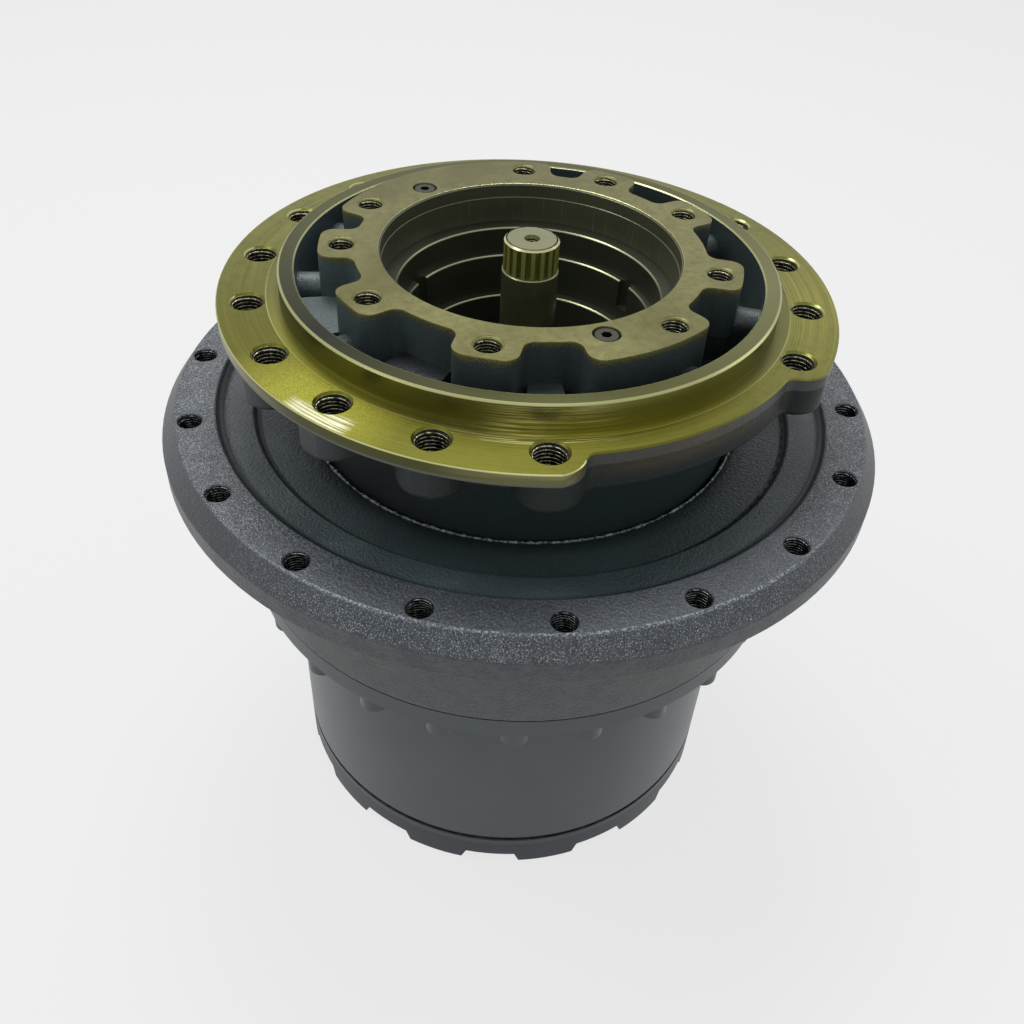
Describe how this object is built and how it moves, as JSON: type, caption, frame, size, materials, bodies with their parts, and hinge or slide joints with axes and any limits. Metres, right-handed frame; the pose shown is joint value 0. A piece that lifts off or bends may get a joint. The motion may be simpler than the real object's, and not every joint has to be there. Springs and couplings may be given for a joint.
{
  "type": "travel reduction gearbox",
  "caption": "Planetary travel gearbox with a stepped turning drum, a toothed input shaft in an open motor bore, and bolted flanges for track frame and sprocket.",
  "frame": {"origin": "on the turning axis, in the plane of the lugs of the end cover on which the gearbox stands", "axes": "+Z along the turning axis towards the motor face; the cut-out of the frame flange looks towards -Y"},
  "size_m": [0.4999, 0.5, 0.46],
  "materials": {
    "cast_dark": "satin dark paint on cast iron",
    "machined_cast": "machined faces with a thin oily rust film",
    "case_grey": "satin dark grey paint",
    "fastener": "blackened steel",
    "steel": "ground steel",
    "gear_steel": "hardened and oiled steel",
    "bronze": "plain bronze",
    "rubber": "matte"
  },
  "bodies": {
    "spindle_group": {"spindle": "machined_cast", "face_plugs": "fastener", "bearing_nut": "steel", "nut_lock_pins": "steel", "inboard_bearing_inner": "steel", "outboard_bearing_inner": "steel", "fixed_seal_ring": "steel", "fixed_seal_oring": "rubber", "second_carrier": "cast_dark", "second_planet_pins": "steel", "second_pin_locks": "steel", "second_planet_rollers": "steel", "second_thrust_washers": "bronze"},
    "hub_group": {"hub": "cast_dark", "inboard_bearing_outer": "steel", "outboard_bearing_outer": "steel", "turning_seal_ring": "steel", "turning_seal_oring": "rubber", "ring_gear": "case_grey", "ring_gear_bolts": "fastener", "ring_gear_dowels": "steel", "cover": "case_grey", "cover_bolts": "fastener", "cover_oring": "rubber", "oil_plugs": "fastener", "thrust_button": "bronze"},
    "input_shaft": {"input_shaft": "gear_steel"},
    "first_carrier_group": {"first_carrier": "cast_dark", "first_planet_pins": "steel", "first_pin_locks": "steel", "first_planet_rollers": "steel", "first_thrust_washers": "bronze", "second_sun_gear": "gear_steel", "sun_snap_ring": "steel", "carrier_thrust_ring": "bronze"},
    "inboard_cage_group": {"inboard_bearing_cage": "bronze", "inboard_bearing_balls": "steel"},
    "outboard_cage_group": {"outboard_bearing_cage": "bronze", "outboard_bearing_balls": "steel"},
    "first_planet_1": {"first_planet_1": "gear_steel"},
    "second_planet_1": {"second_planet_1": "gear_steel"},
    "first_planet_2": {"first_planet_2": "gear_steel"},
    "second_planet_2": {"second_planet_2": "gear_steel"},
    "first_planet_3": {"first_planet_3": "gear_steel"},
    "second_planet_3": {"second_planet_3": "gear_steel"}
  },
  "joints": [
    {"name": "hub_spin", "type": "hinge", "parent": "spindle_group", "child": "hub_group", "pos_m": [0, 0, 0.281], "axis": [0, 0, 1], "continuous": true},
    {"name": "first_carrier_spin", "type": "hinge", "parent": "spindle_group", "child": "first_carrier_group", "pos_m": [0, 0, 0.072], "axis": [0, 0, 1], "continuous": true},
    {"name": "input_shaft_spin", "type": "hinge", "parent": "spindle_group", "child": "input_shaft", "pos_m": [0, 0, 0.071], "axis": [0, 0, 1], "continuous": true},
    {"name": "first_planet_1_spin", "type": "hinge", "parent": "first_carrier_group", "child": "first_planet_1", "pos_m": [0.07275, 0.042, 0.071], "axis": [0, 0, 1], "continuous": true},
    {"name": "second_planet_1_spin", "type": "hinge", "parent": "spindle_group", "child": "second_planet_1", "pos_m": [0, 0.09, 0.15], "axis": [0, 0, 1], "continuous": true},
    {"name": "first_planet_2_spin", "type": "hinge", "parent": "first_carrier_group", "child": "first_planet_2", "pos_m": [-0.07275, 0.042, 0.071], "axis": [0, 0, 1], "continuous": true},
    {"name": "second_planet_2_spin", "type": "hinge", "parent": "spindle_group", "child": "second_planet_2", "pos_m": [-0.07794, -0.045, 0.15], "axis": [0, 0, 1], "continuous": true},
    {"name": "first_planet_3_spin", "type": "hinge", "parent": "first_carrier_group", "child": "first_planet_3", "pos_m": [0, -0.084, 0.071], "axis": [0, 0, 1], "continuous": true},
    {"name": "second_planet_3_spin", "type": "hinge", "parent": "spindle_group", "child": "second_planet_3", "pos_m": [0.07794, -0.045, 0.15], "axis": [0, 0, 1], "continuous": true},
    {"name": "inboard_cage_spin", "type": "hinge", "parent": "spindle_group", "child": "inboard_cage_group", "pos_m": [0, 0, 0.2815], "axis": [0, 0, 1], "continuous": true},
    {"name": "outboard_cage_spin", "type": "hinge", "parent": "spindle_group", "child": "outboard_cage_group", "pos_m": [0, 0, 0.2395], "axis": [0, 0, 1], "continuous": true}
  ],
  "couplings": [
    {"joint": "first_carrier_spin", "follows": "hub_spin", "ratio": -4},
    {"joint": "input_shaft_spin", "follows": "hub_spin", "ratio": -34},
    {"joint": "first_planet_1_spin", "follows": "hub_spin", "ratio": 12},
    {"joint": "second_planet_1_spin", "follows": "hub_spin", "ratio": 2.6667},
    {"joint": "first_planet_2_spin", "follows": "hub_spin", "ratio": 12},
    {"joint": "second_planet_2_spin", "follows": "hub_spin", "ratio": 2.6667},
    {"joint": "first_planet_3_spin", "follows": "hub_spin", "ratio": 12},
    {"joint": "second_planet_3_spin", "follows": "hub_spin", "ratio": 2.6667},
    {"joint": "inboard_cage_spin", "follows": "hub_spin", "ratio": 0.53831},
    {"joint": "outboard_cage_spin", "follows": "hub_spin", "ratio": 0.53831}
  ]
}
